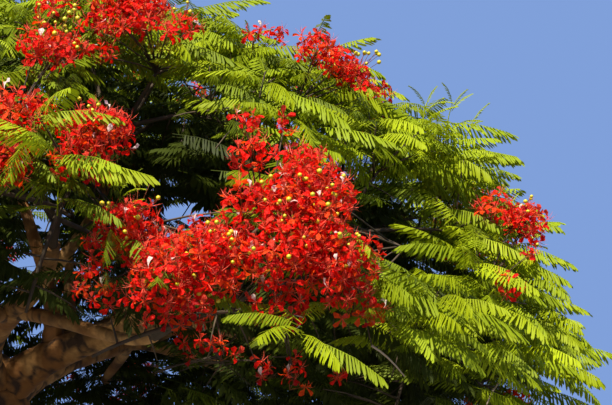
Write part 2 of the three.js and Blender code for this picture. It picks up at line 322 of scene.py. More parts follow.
def trunk_rings(sides, rows):
    """The trunk's rings: an even taper, a flare that dies away upwards, five ridges, a swelling
    among the limbs and a rounded closing over the crotch, with the bark's relief on top"""
    share = np.linspace(0, 1, rows)[:, None]
    height = TRUNK_HEIGHT * share**1.2
    angle = np.arange(sides) * 2 * np.pi / sides
    flare = np.exp(-height / FLARE_HEIGHT)
    ridges = 1 + (RIDGE + RIDGE_IN_FLARE * flare) * np.cos(BUTTRESSES * angle + 0.6)
    into_crotch = height - TRUNK_HEIGHT + CROTCH_HEIGHT
    swelling = 1 + CROTCH_SWELLING * np.exp(-((into_crotch / CROTCH_SPREAD) ** 2))
    closing = np.sqrt(1 - CROTCH_CLOSING * (np.maximum(0, into_crotch) / CROTCH_HEIGHT) ** 2)
    radius = (blend(TRUNK_RADIUS, TRUNK_TOP_RADIUS, share) + FLARE * flare) * ridges * swelling * closing
    wrinkling = 0.5 + 0.6 * np.exp(-(((height - WRINKLED_HEIGHT) / WRINKLED_SPREAD) ** 2))
    relief = bark_relief(angle, radius, height + 0 * angle, wrinkling)
    radius = radius + TRUNK_RELIEF * relief * eased(height, 0, 0.04)
    offsets = np.stack([np.cos(angle) * radius, np.sin(angle) * radius, 0 * radius], -1)
    return trunk_middle(height[:, 0])[:, None] + offsets, relief


BARK = bark_finish()
rings, relief = trunk_rings(TRUNK_SIDES, TRUNK_RINGS)
bark_skin("trunk_bark", rings, relief, BARK, "trunk")

# The limbs and boughs
# Five limbs leave the crotch and arch out like the ribs of an umbrella, each to a mass of its own.
# Thinner boughs leave them for the other masses. All taper, and swell in a collar where they leave.
LIMB_COUNT = 5
LIMB_AZIMUTH = -20
LIMB_DROP = 0.23  # how far below the trunk's top the first limb leaves
LIMB_STAGGER = 0.07  # and how much lower every second one does
LIMB_RADIUS = 0.118
LIMB_TIP_RADIUS = 0.044
BOUGH_TIP_RADIUS = 0.028
BOUGH_SHARE = 0.66
COLLAR = 0.5  # how much a limb swells where it leaves, as a share of its radius
COLLAR_LENGTH = 1.3  # in radii, as the length of the wrinkles is
WRINKLED_LENGTH = 6
# Sides, rings and depth of relief of a limb's skin and of a bough's
LIMB_SKIN = (72, 160, 0.0075)
BOUGH_SKIN = (26, 64, 0.0035)
UP = np.array([0.0, 0.0, 1.0])


def aside(a, b):
    """The angle between two bearings, whichever way round is the shorter"""
    return np.abs(np.arctan2(np.sin(a - b), np.cos(a - b)))


def bezier(controls, shares):
    """Points of a curve through its control points, by taking shares of shares (de Casteljau)"""
    points = controls[:, None]
    while len(points) > 1:
        points = blend(points[:-1], points[1:], shares[:, None])
    return points[0]


def along(controls, shares):
    """Points at even shares of a curve's length, which is summed over 200 short chords"""
    steps = np.linspace(0, 1, 201)
    chords = np.linalg.norm(np.diff(bezier(controls, steps), axis=0), axis=1)
    travelled = np.concatenate([[0], np.cumsum(chords)])
    return bezier(controls, np.interp(np.asarray(shares) * travelled[-1], travelled, steps))


def heading_at(controls, share):
    """The unit direction of a curve at a share of its length"""
    near = along(controls, np.clip([share - 0.002, share + 0.002], 0, 1))
    return unit(near[1] - near[0])


limb_azimuths = np.radians(LIMB_AZIMUTH + 360 / LIMB_COUNT * np.arange(LIMB_COUNT))
mass_limb = aside(limb_azimuths[None], mass_azimuth[:, None]).argmin(1)
limbs = []
for order, azimuth in enumerate(limb_azimuths):
    apart = aside(azimuth, mass_azimuth) + 2 * np.abs(mass_level - ROWS[1][1])
    mass = int(np.where(mass_limb == order, apart, np.inf).argmin())
    away = np.array([math.cos(azimuth), math.sin(azimuth), 0])
    leaves_at = TRUNK_HEIGHT - LIMB_DROP - LIMB_STAGGER * (order % 2)
    start = trunk_middle(np.array(leaves_at)) + 0.3 * TRUNK_TOP_RADIUS * away
    foot = mass_foot[mass]
    length = np.linalg.norm(foot - start)
    rising = start + 0.3 * length * away + 0.22 * length * UP
    line = np.array([start, rising, foot - 0.3 * length * outwards(foot), foot])
    radii = (LIMB_RADIUS, LIMB_TIP_RADIUS, 0.85)
    limbs.append({"name": f"limb_{order + 1}", "mass": mass, "line": line, "radii": radii})

boughs = []
for mass, name in enumerate(mass_names):
    limb = limbs[mass_limb[mass]]
    if limb["mass"] == mass:
        continue
    station = 0.16 + 0.42 * (1 - mass_level[mass]) + 0.08 * float(chance(mass, 3))
    start = along(limb["line"], [station])[0]
    foot = mass_foot[mass]
    length = np.linalg.norm(foot - start)
    leaving = unit(unit(foot - start) + 0.7 * heading_at(limb["line"], station))
    line = np.array([start, start + 0.36 * length * leaving, foot - 0.3 * length * outwards(foot), foot])
    radii = (BOUGH_SHARE * blend(LIMB_RADIUS, LIMB_TIP_RADIUS, station**0.85), BOUGH_TIP_RADIUS, 0.8)
    boughs.append({"name": f"bough_{name}", "mass": mass, "line": line, "radii": radii})


def limb_rings(limb, sides, rows, depth):
    """Rings along a limb, square to its line: a radius that falls with a power of the share, a
    collar that dies away from the foot, and the bark's relief"""
    shares = np.linspace(0, 1, rows)
    middle = along(limb["line"], shares)
    tangent = unit(np.gradient(middle, axis=0))
    chord = unit(middle[-1] - middle[0])
    aslant = UP if abs(chord[2]) < 0.9 else np.array([1.0, 0, 0])
    first = unit(np.cross(tangent, np.cross(chord, aslant)))
    second = np.cross(tangent, first)
    begin, end, power = limb["radii"]
    travelled = (shares * np.linalg.norm(np.diff(middle, axis=0), axis=1).sum())[:, None]
    collar = 1 + COLLAR * np.exp(-travelled / (COLLAR_LENGTH * begin))
    radius = blend(begin, end, shares[:, None] ** power) * collar
    angle = np.arange(sides) * 2 * np.pi / sides
    wrinkling = 0.45 + 0.7 * np.exp(-travelled / (WRINKLED_LENGTH * begin))
    relief = bark_relief(angle, radius, travelled + 3 * begin + 0 * angle, wrinkling)
    radius = (radius + depth * relief)[..., None]
    spokes = np.cos(angle)[:, None] * first[:, None] + np.sin(angle)[:, None] * second[:, None]
    return middle[:, None] + radius * spokes, relief


for branches, skin in ((limbs, LIMB_SKIN), (boughs, BOUGH_SKIN)):
    for branch in branches:
        rings, relief = limb_rings(branch, *skin)
        bark_skin(f"{branch['name']}_bark", rings, relief, BARK, branch["name"])

# Where the shoots end
# Rosettes of fronds and heads of blossom each have a spiral of their own on the dome, which turns
# by the golden angle. The foliage bulges and has hollows and gaps, and gathers in tiers. Blossom
# comes in patches.
LEAFY_TIPS = 740
BLOOM_TIPS = 2300
INNER_TIPS = 860
YOUNG_TIPS = 64
BARE_TIPS = 60
GOLDEN_ANGLE = math.pi * (3 - math.sqrt(5))
HANG_BELOW = 0.09  # how far tips hang under the widest height, as a share of the rise
BULGE = 0.09
TUCK = 0.30  # how much deeper tips lie under the rim
TIER = 0.22
WANDER = 0.25  # how far a tier rises and falls along the crown
DEEPEST = 1.2
LEAFY_DEPTH = 0.02
LEAFY_SINKING = 0.14  # how much deeper fronds lie among blossom
INNER_DEPTHS = (0.38, 0.88)
BARE_DEPTH = 0.12
FRONDS_IN_BLOOM = 0.16  # share of the shoots of fronds that stay among blossom
OTHER_CROWDING = 0.42  # share of the heads in a patch off the sunny side
STRAY_HEADS = 0.008
PATCH_BULGE = 0.10  # how far the middle of a patch stands out beyond its edge
RAGGED_EDGE = 0.22  # how far that edge wanders, as a share of the patch's reach
FROND_MARGIN = 0.02  # how far fronds keep from the edge of a window
HEAD_MARGIN = 0.10
# Bearing, level, reach and depth of each hollow, where one with a depth below nothing is a swelling
HOLLOWS = [
    (-68, 0.63, 0.24, 0.75), (-65, 0.56, 0.27, 0.75), (-61, 0.50, 0.24, 0.65), (-66, 0.41, 0.20, 0.50),
    (-64, 0.71, 0.21, 0.50), (-41, 0.40, 0.28, 0.75), (-44, 0.48, 0.21, 0.50), (-31, 0.44, 0.22, 0.65),
    (-65, -0.05, 0.33, 0.90), (-56, -0.07, 0.31, 0.90), (-46, -0.09, 0.28, 0.80), (-36, -0.08, 0.25, 0.60),
    (-78, 0.21, 0.30, 0.40), (-79, 0.00, 0.35, 0.80), (-16, 0.45, 0.16, 0.25), (-12, 0.15, 0.42, 0.15),
    (-59.5, 0.57, 0.13, 0.45), (-62, 0.93, 0.45, -0.05), (-40, 0.88, 0.36, -0.11), (-28, 0.78, 0.20, -0.06),
    (-17, 0.54, 0.16, -0.07), (-21, 0.63, 0.20, -0.09), (-37, 0.60, 0.20, -0.12), (-50, 0.72, 0.24, -0.09),
    (-43, 0.18, 0.18, -0.08), (-43, 0.07, 0.16, -0.06),
]
STREWN_HOLLOWS = 16
# Bearing, level and reach of each gap, and the share of the shoots that it lacks
GAPS = [
    (-78, 0.22, 0.28, 0.7), (-79, 0.02, 0.35, 0.8), (-64, 0.30, 0.15, 0.9), (94, 0.52, 0.30, 0.7),
    (95, 0.26, 0.30, 0.7), (67, 0.63, 0.26, 0.8),
]
STREWN_GAPS = 14
# Bearing, level, reach and depth of each patch of blossom, which has a head at its middle
SUNNY_PATCHES = [
    # high on the left
    (-75, 0.80, 0.11, -0.06), (-66.5, 0.79, 0.16, -0.10), (-60.5, 0.80, 0.12, -0.08),
    (-57, 0.755, 0.06, -0.06), (-69, 0.735, 0.03, -0.04), (-66, 0.745, 0.03, -0.06),
    (-63, 0.75, 0.03, -0.06), (-60, 0.745, 0.03, -0.04), (-78.5, 0.665, 0.08, -0.08),
    (-76.5, 0.64, 0.08, -0.06), (-74.5, 0.665, 0.05, -0.06),
    # half way up on the left, and in the shade below
    (-82, 0.47, 0.08, -0.08), (-78.5, 0.49, 0.06, -0.04), (-81.5, 0.40, 0.12, -0.10),
    (-81, 0.36, 0.08, -0.08), (-74.3, 0.43, 0.15, -0.08), (-71, 0.275, 0.09, 0.12),
    (-73.5, 0.21, 0.07, 0.32), (-73, 0.15, 0.09, 0.28),
    # the great patch in the middle, and its neck
    (-56.8, 0.265, 0.29, -0.16), (-69, 0.135, 0.20, -0.08), (-69.8, 0.075, 0.08, -0.06),
    (-65, 0.165, 0.17, -0.10), (-55.5, 0.175, 0.19, -0.14), (-58, 0.17, 0.25, -0.18),
    (-52, 0.10, 0.14, -0.10), (-58.2, 0.457, 0.06, -0.28), (-59.4, 0.428, 0.04, -0.28),
    (-58.2, 0.43, 0.08, -0.28), (-60.7, 0.42, 0.04, -0.28), (-59.9, 0.405, 0.05, -0.28),
    (-59.5, 0.40, 0.07, -0.28), (-59.6, 0.38, 0.06, -0.28), (-60.4, 0.369, 0.04, -0.28),
    (-53.5, 0.49, 0.03, -0.06),
    # high on the right, and on the right-hand rim
    (-37, 0.685, 0.13, -0.10), (-40.5, 0.80, 0.03, -0.06), (-42, 0.69, 0.04, -0.20),
    (-33, 0.69, 0.06, -0.06), (-22, 0.70, 0.05, -0.02), (-25, 0.34, 0.08, -0.12),
    (-24, 0.345, 0.04, -0.20), (-33, 0.17, 0.04, -0.12), (-28, 0.25, 0.015, -0.16),
    # single small heads in the shade under the rim
    (-55, -0.02, 0.03, 0.45), (-52, -0.01, 0.03, 0.40), (-46, -0.02, 0.03, 0.45),
    (-61, 0.04, 0.03, 0.40), (-59, 0.02, 0.02, 0.45), (-51, -0.05, 0.03, 0.45),
    (-72, 0.06, 0.03, 0.35), (-69, 0.03, 0.03, 0.40), (-80.5, 0.195, 0.03, 0.10),
    (-81, 0.12, 0.03, 0.35), (-79, 0.13, 0.03, 0.25), (-80.7, 0.015, 0.03, 0.15),
]
STREWN_PATCHES = 30
SUNNY_AZIMUTH = -55
SUNNY_HALF_WIDTH = 52
# Where someone stands who looks up at the sunny side
EYE = np.array([2.05, -10.7, 1.6])
# Bearing and level of each window, how far round the crown the eye stands that looks in there, and
# the window's reach. Most go through the crown, and three only to its fork.
WINDOWS = [
    (-66.5, 0.303, 0, 0.07), (-65.2, 0.296, 0, 0.08), (-64, 0.294, 0, 0.07), (-79.3, 0.285, 0, 0.05),
    (-78, 0.264, 0, 0.06), (-76.1, 0.290, 0, 0.05), (-75.4, 0.187, 0, 0.05), (-80.1, 0.190, 0, 0.05),
    (-81, 0.105, 0, 0.06), (-78.5, 0.086, 0, 0.04), (-20, 0.250, 68, 0.07), (32, 0.300, 120, 0.07),
    (118, 0.150, -160, 0.06), (168, 0.350, -110, 0.07), (-150, 0.220, -70, 0.06),
]
FORK_WINDOWS = [(-79, 0.020, 0, 0.24), (-85, -0.050, 0, 0.26), (-72, 0.010, 0, 0.16)]
THROUGH = 9.0  # how far a window goes in from its mouth
TO_FORK = 2.6
# Bearing, level and depth of single shoots on the sunny side, which stand out from the rest
PLACED_SHOOTS = [
    (-77.5, 0.385, -0.20), (-79, 0.45, -0.20), (-58, 0.07, -0.22), (-43, 0.14, -0.12), (-45, 0.885, -0.05),
    (-34, 0.84, -0.03), (-28, 0.79, -0.05), (-20, 0.69, -0.02), (-18, 0.55, -0.05), (-14, 0.40, 0.06),
    (-12, 0.22, 0.03), (-11, 0.11, 0.02), (-61, 0.93, -0.05), (-52, 0.91, -0.08), (-20, 0.63, -0.06),
    (-18, 0.59, -0.08), (-23, 0.57, -0.06),
]
YOUNG_PLACED = [(-24, 0.55, -0.07), (-22, 0.52, -0.08), (-27, 0.58, -0.06)]
BARE_PLACED = [(-49, 0.035, 0.00)]


def strewn(count, offset, highest):
    """Places of their own spiral that lie off the sunny side: bearings, levels and orders"""
    order = np.arange(count)
    azimuth = (order + offset) * GOLDEN_ANGLE
    level = highest - (order + 0.5) / count
    off_side = aside(azimuth, math.radians(SUNNY_AZIMUTH)) > math.radians(SUNNY_HALF_WIDTH)
    return azimuth[off_side], level[off_side], order[off_side]


def spots(read, count, offset, highest, *ranges):
    """Middles on the dome and two numbers each, of spots read from the sunny side and of others
    strewn over the rest, whose numbers are chances between the ends of a range"""
    azimuth, level, order = strewn(count, offset, highest)
    read = np.array(read)
    middles = np.concatenate([dome(read[:, 1], np.radians(read[:, 0])), dome(level, azimuth)])
    numbers = []
    for index, (low, high) in enumerate(ranges):
        numbers.append(np.concatenate([read[:, 2 + index], blend(low, high, chance(order, 7 + index))]))
    return middles, *numbers


hollow_middle, hollow_reach, hollow_depth = spots(
    HOLLOWS, STREWN_HOLLOWS, 0.1, 0.9, (0.28, 0.42), (0.35, 0.6)
)
gap_middle, gap_reach, gap_share = spots(GAPS, STREWN_GAPS, 0.75, 0.85, (0.16, 0.28), (0.7, 0.95))
patch_middle, patch_reach, patch_depth = spots(
    SUNNY_PATCHES, STREWN_PATCHES, 0.4, 0.97, (0.30, 0.58), (-0.12, 0.02)
)
window_azimuth, window_level, eye_turn, window_reach = np.array(WINDOWS + FORK_WINDOWS).T
window_length = np.repeat([THROUGH, TO_FORK], [len(WINDOWS), len(FORK_WINDOWS)])
window_mouth = dome(window_level, np.radians(window_azimuth))
eye_azimuth = math.atan2(EYE[1], EYE[0] - CENTRE_X) + np.radians(eye_turn)
eye_distance = math.hypot(EYE[1], EYE[0] - CENTRE_X)
eye_x = CENTRE_X + eye_distance * np.cos(eye_azimuth)
eyes = np.stack([eye_x, eye_distance * np.sin(eye_azimuth), EYE[2] + 0 * eye_x], -1)


def in_window(points, margin):
    """Whether points lie nearer to the line of sight through a window than its reach and a margin:
    the distance is what is left of the way from its mouth, once the part along the line is off"""
    line = unit(window_mouth - eyes)
    offsets = points[:, None] - window_mouth
    travelled = (offsets * line).sum(-1, keepdims=True)
    apart = np.linalg.norm(offsets - travelled * line, axis=-1)
    return ((apart < window_reach + margin) & (travelled[..., 0] < window_length)).any(1)


def far_from(points, middles):
    """The distance from every point to every middle"""
    return np.linalg.norm(points[:, None] - middles[None], axis=-1)


def swing(a, b, c=0):
    """A chance from -0.5 to 0.5"""
    return chance(a, b, c) - 0.5


def shoots(count, seed):
    """Shoots along a spiral: levels fall evenly, bearings turn by the golden angle, and both stray
    a little. Those in a gap are mostly left out."""
    order = np.arange(count)
    level = 1 - (order + 0.5) / count * (1 + HANG_BELOW) + 0.03 * swing(order, seed)
    azimuth = order * GOLDEN_ANGLE + seed + 0.10 * swing(order, seed + 1)
    level = np.clip(level, -HANG_BELOW, 0.999)
    in_gap = far_from(dome(level, azimuth), gap_middle) < gap_reach
    lost = (in_gap & (chance(order, seed + 2)[:, None] < gap_share)).any(1)
    return order[~lost], level[~lost], azimuth[~lost]


def settled(level, azimuth, depth, drawn=0.75):
    """Points at a depth below the dome, deeper in its hollows and under its rim, and drawn towards
    the nearest tier by a share, where the tiers themselves rise and fall along the crown"""
    skin = dome(level, azimuth)
    hollow = (hollow_depth * np.exp(-((far_from(skin, hollow_middle) / hollow_reach) ** 2))).sum(1)
    bulge = BULGE * value_noise(skin / 0.8) + 0.03
    tuck = TUCK * eased(-level, -0.12, 0.08)
    points = dome(level, azimuth, np.minimum(depth + bulge + tuck + np.minimum(hollow, 0.9), DEEPEST))
    wander = WANDER * value_noise(skin / 1.3 + 9)
    tier = TIER * np.round((points[:, 2] + wander) / TIER) - wander
    points[:, 2] = blend(points[:, 2], tier, drawn)
    return points


def from_patches(skin):
    """How far each point is from a patch, as a distance over that patch's reach"""
    return (far_from(skin, patch_middle) / patch_reach).min(1)


def read_places(rows):
    """Points from rows of bearing, level and depth"""
    azimuth, level, depth = np.array(rows).T
    return dome(level, np.radians(azimuth), depth)


def clear_of_windows(margin, tip, *others):
    """Those tips that keep clear of the windows, with their other values"""
    clear = ~in_window(tip, margin)
    return [values[clear] for values in (tip, *others)]


leaf_order, leaf_level, leaf_azimuth = shoots(LEAFY_TIPS, 1)
in_bloom = from_patches(dome(leaf_level, leaf_azimuth)) < 0.9
leafy = ~in_bloom | (chance(leaf_order, 40) < FRONDS_IN_BLOOM)
leaf_order, leaf_level, leaf_azimuth = leaf_order[leafy], leaf_level[leafy], leaf_azimuth[leafy]
leaf_tip = settled(leaf_level, leaf_azimuth, LEAFY_DEPTH + LEAFY_SINKING * in_bloom[leafy])
leaf_tip = np.concatenate([leaf_tip, read_places(PLACED_SHOOTS)])
leaf_order = np.concatenate([leaf_order, 2000 + np.arange(len(PLACED_SHOOTS))])
leaf_tip, leaf_order = clear_of_windows(FROND_MARGIN, leaf_tip, leaf_order)

bloom_order, bloom_level, bloom_azimuth = shoots(BLOOM_TIPS, 4)
bloom_skin = dome(bloom_level, bloom_azimuth)
bloom_far = from_patches(bloom_skin) + RAGGED_EDGE * value_noise(bloom_skin / 0.22)
patch = far_from(bloom_skin, patch_middle).argmin(1)
sunny = patch < len(SUNNY_PATCHES)
in_patch = (bloom_far < 1) & (chance(bloom_order, 41) < np.where(sunny, 1.0, OTHER_CROWDING))
blooming = in_patch | (chance(bloom_order, 42) < STRAY_HEADS)
bloom_order, bloom_far = bloom_order[blooming], bloom_far[blooming]
patch, sunny = patch[blooming], sunny[blooming]
depth = patch_depth[patch] - PATCH_BULGE * np.clip(1 - bloom_far**2, 0, 1)
bloom_tip = settled(bloom_level[blooming], bloom_azimuth[blooming], depth, 0.25)
# Small patches on the sunny side have small heads, and elsewhere their fullness is a chance
strewn_fullness = 0.6 + 0.4 * chance(bloom_order, 45)
fullness = np.where(sunny, np.clip(patch_reach[patch] / 0.10, 0.25, 1), strewn_fullness)
patches = np.array(SUNNY_PATCHES)
bloom_tip = np.concatenate([bloom_tip, read_places(patches[:, [0, 1, 3]])])
bloom_order = np.concatenate([bloom_order, 3000 + np.arange(len(patches))])
fullness = np.concatenate([fullness, np.clip(patches[:, 2] / 0.16, 0.1, 1)])
bloom_tip, bloom_order, fullness = clear_of_windows(HEAD_MARGIN, bloom_tip, bloom_order, fullness)

inner_order, inner_level, inner_azimuth = shoots(INNER_TIPS, 6)
inner_tip = settled(inner_level, inner_azimuth, blend(*INNER_DEPTHS, chance(inner_order, 43)))
inner_tip, inner_order = clear_of_windows(FROND_MARGIN, inner_tip, inner_order)

_, young_level, young_azimuth = shoots(YOUNG_TIPS, 8)
high = young_level > 0.12
young_foot = settled(young_level[high], young_azimuth[high], 0.06)
young_foot = np.concatenate([young_foot, read_places(YOUNG_PLACED)])
_, bare_level, bare_azimuth = shoots(BARE_TIPS, 12)
low = bare_level < 0.25
bare_foot = dome(bare_level[low], bare_azimuth[low], BARE_DEPTH)
bare_foot = np.concatenate([read_places(BARE_PLACED), bare_foot])

# The twigs
# Each mass has one stem, in line with the bough that ends at its foot. Coarse twigs leave the stem,
# and a fine twig leaves the nearest knot on one of those for every shoot.
CELL_DEPTH = 0.35
STEM_DEPTH = 0.56
COARSE_TIPS = 150
COARSE_DEPTH = 0.16
KNOTS = 5
ARCH = 0.07  # how far a twig rises above the straight way, as a share of its length
STRANGER = 0.5  # how much farther a knot of another mass counts than one of the shoot's own
STEM_RADIUS = 0.028
COARSE_RADII = (0.015, 0.008)
FINE_RADII = (0.006, 0.003)
# The twigs' own brown and grey, made very dark as painted shade inside the crown
TWIG_SHADED_BROWN = (0.036, 0.020, 0.007, 1)
TWIG_SHADED_GREY = (0.070, 0.044, 0.018, 1)


def twig_finish():
    """Young bark, brown to grey along the way, darkened as painted shade, and rough"""
    young = Finish("shaded_young_bark")
    colour = young.mix(young.noise(young.place(), 5.0).between(0.35, 0.65), TWIG_SHADED_BROWN, TWIG_SHADED_GREY)
    return young.made(young.principled({"Base Color": colour, "Roughness": 0.8}))


def bent(begin, bend, end, share):
    """Points at shares of quadratic curves"""
    return (1 - share) ** 2 * begin + 2 * share * (1 - share) * bend + share**2 * end


def repeated(faces, points_each, count):
    """The faces of one small mesh, repeated for each of its copies"""
    return (faces[None] + (np.arange(count) * points_each)[:, None, None]).reshape(-1, 3)


def tubes(begin, bend, end, radii, sides, steps):
    """Closed tubes along quadratic curves, all at once and joined. The radius falls evenly from
    the first of two numbers to the second, and rings stand square to the curve."""
    shares = np.linspace(0, 1, steps + 1)[None, :, None]
    middle = bent(begin[:, None], bend[:, None], end[:, None], shares)
    tangent = unit(np.gradient(middle, axis=1))
    steep = np.abs(unit(end - begin)[:, 2:]) > 0.9
    across = np.where(steep, np.array([1.0, 0, 0]), UP)
    first = unit(np.cross(tangent, across[:, None]))[:, :, None]
    second = np.cross(tangent[:, :, None], first)
    angle = (np.arange(sides) * 2 * np.pi / sides)[:, None]
    radius = blend(radii[0], radii[1], shares)[..., None]
    points = middle[:, :, None] + radius * (np.cos(angle) * first + np.sin(angle) * second)
    fan = np.array([[0, side, side + 1] for side in range(1, sides - 1)])
    one = np.concatenate([wall_faces(steps + 1, sides), fan[:, ::-1], fan + steps * sides])
    return points.reshape(-1, 3), repeated(one, (steps + 1) * sides, len(begin))


def joined(*shapes):
    """Points and triangles of several meshes as one"""
    starts = np.cumsum([0] + [len(points) for points, _ in shapes])
    faces = [triangles + start for (_, triangles), start in zip(shapes, starts)]
    return np.concatenate([points for points, _ in shapes]), np.concatenate(faces)


def arch(begin, end):
    """The bend of a twig, which rises a little above the straight way"""
    rise = ARCH * np.linalg.norm(end - begin, axis=-1, keepdims=True)
    return blend(begin, end, 0.55) + rise * UP


mass_nodes = [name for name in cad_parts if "_mass_" in name]
mass_middle = dome(mass_level, mass_azimuth, CELL_DEPTH)
mass_stem_end = dome(mass_level, mass_azimuth, STEM_DEPTH)
carriers = {limb["mass"]: limb for limb in limbs + boughs}
stem_heading = np.array([heading_at(carriers[mass]["line"], 1.0) for mass in range(len(mass_names))])
stem_begin = mass_foot - 0.03 * stem_heading
stem_bend = mass_foot + 0.4 * stem_heading * np.linalg.norm(mass_stem_end - mass_foot, axis=1)[:, None]

coarse_order = np.arange(COARSE_TIPS)
coarse_level = 1 - (coarse_order + 0.5) / COARSE_TIPS * (1 + HANG_BELOW)
coarse_azimuth = coarse_order * GOLDEN_ANGLE
coarse = settled(coarse_level, coarse_azimuth, COARSE_DEPTH)
coarse_mass = far_from(coarse, mass_middle).argmin(1)
place = np.zeros((COARSE_TIPS, 1))
for mass in range(len(mass_names)):
    own = np.flatnonzero(coarse_mass == mass)
    place[own, 0] = 0.45 + 0.5 * (np.arange(len(own)) + 0.5) / max(len(own), 1)
coarse_begin = bent(stem_begin[coarse_mass], stem_bend[coarse_mass], mass_stem_end[coarse_mass], place)
coarse_bend = arch(coarse_begin, coarse)

fine_tip = np.concatenate([leaf_tip, bloom_tip, inner_tip, young_foot, bare_foot])
fine_order = np.arange(len(fine_tip))
knots = np.linspace(0.35, 0.95, KNOTS)[:, None]
knot = bent(coarse_begin[:, None], coarse_bend[:, None], coarse[:, None], knots)
strange = far_from(fine_tip, mass_middle).argmin(1)[:, None] != np.repeat(coarse_mass, KNOTS)
nearest = (far_from(fine_tip, knot.reshape(-1, 3)) + STRANGER * strange).argmin(1)
parent = nearest // KNOTS
leaves_at = knots[nearest % KNOTS] + 0.12 * swing(fine_order, 21)[:, None]
fine_begin = bent(coarse_begin[parent], coarse_bend[parent], coarse[parent], leaves_at)
fine_bend = arch(fine_begin, fine_tip)

stems = tubes(stem_begin, stem_bend, mass_stem_end, (STEM_RADIUS, COARSE_RADII[0]), 8, 6)
coarse_twigs = tubes(coarse_begin, coarse_bend, coarse, COARSE_RADII, 6, 6)
fine_twigs = tubes(fine_begin, fine_bend, fine_tip, FINE_RADII, 4, 3)
new_piece("twigs", joined(stems, coarse_twigs, fine_twigs), twig_finish(), mass_nodes)

# The fronds
# Each shoot ends in a rosette of feathery fronds, spread almost level and drooping at their tips.
# A frond is a rib with pairs of narrow leaflet strips that fold down from its sides: twenty-four
# pairs, or twenty broader ones inside the crown.
FROND_LENGTH = 0.46
PAIRS = 24
INNER_PAIRS = 20
STRIP_LENGTH = 0.104
STRIP_HALF_WIDTH = 0.0058
STRIP_ANGLES = (80, 26)  # between a strip and the rib, near the foot and at the tip
STRIP_CURL = 34
RIB_FOOT = 0.14  # share of the rib below the first strips
RIB_RADIUS = 0.0022
FRONDS_A_SHOOT = 7
INNER_FRONDS = 4
OUTER_SLOPES = (30, -2)  # of a shoot's first frond and its last
INNER_SLOPES = (25, -10)
INNER_SIZE = 1.15
MOST_FRONDS = 1200  # in one piece
MOST_INNER_FRONDS = 1900
# Greens from palest to darkest. The fronds take them mostly by their depth in the crown, with a chance: the
# paler ones near the skin are painted sunlight, and the darker ones deeper in are painted shade. The palest
# is also the young shoots' own fresh green.
GREENS = {
    "fresh_and_sunlit": (0.255, 0.305, 0.004, 1),
    "sunny": (0.198, 0.250, 0.004, 1),
    "middle": (0.130, 0.170, 0.003, 1),
    "deep": (0.065, 0.088, 0.003, 1),
    "shaded": (0.034, 0.046, 0.003, 1),
}


def tinted(colour, factor, lift=0.0):
    """A colour made darker or paler, by a factor and a little more"""
    return tuple(factor * part + lift for part in colour[:3]) + (1,)


def leaf_finish(name, green):
    """Thin leaf: a satin surface with a slow drift of colour, which lets yellow light through"""
    leaf = Finish(f"{name}_leaf")
    place = leaf.place()
    darker = tinted(green, 0.78)
    paler = tinted(green, 1.18)
    colour = leaf.mix(leaf.noise(place, 2.2, 2.0).between(0.35, 0.65), darker, paler)
    grain = leaf.noise(place, 240.0, 2.0)
    sockets = {"Base Color": colour, "Roughness": 0.5 + 0.15 * grain, "Specular IOR Level": 0.12}
    satin = leaf.principled(sockets | {"Normal": leaf.bump(grain, 0.25, 0.002)})
    return leaf.lit_through(satin, paler, 0.24)


def frond_template(pairs, outline):
    """One frond's own numbers for each point: its station on the rib, its side, how far out along
    the strip and how far across it. The points of the three-sided rib come last, with no side."""
    outs, acrosses, strip = outline
    each = len(outs)
    stations = RIB_FOOT + (1 - RIB_FOOT) * (np.arange(pairs) + 0.5) / pairs
    sides = np.repeat([1.0, -1.0], pairs)
    faces = []
    for index, side in enumerate(sides):
        faces.append(strip[:, :: int(side)] + each * index)
    rib_stations = np.array([0, 0.3, 0.62, 1.0])
    angle = np.tile(np.arange(3) * 2 * np.pi / 3, len(rib_stations))
    faces.append(wall_faces(len(rib_stations), 3) + each * len(sides))
    station = np.concatenate([np.repeat(np.tile(stations, 2), each), np.repeat(rib_stations, 3)])
    side = np.concatenate([np.repeat(sides, each), 0 * angle])
    out = np.concatenate([np.tile(outs, len(sides)), np.cos(angle)])
    across = np.concatenate([np.tile(acrosses, len(sides)), np.sin(angle)])
    return station, side, out, across, np.concatenate(faces)


POINTED_STRIP = (
    np.array([0, 0, 0.82, 0.82, 1.0]),
    np.array([0.6, -0.6, 1.0, -1.0, 0]),
    np.array([[0, 3, 1], [0, 2, 3], [2, 4, 3]]),
)
PLAIN_STRIP = (
    np.array([0, 0.5, 0.5, 1.0]),
    np.array([0, 1.4, -1.4, 0]),
    np.array([[0, 1, 2], [1, 3, 2]]),
)
BROAD_STRIP = (PLAIN_STRIP[0], 1.15 * PLAIN_STRIP[1], PLAIN_STRIP[2])


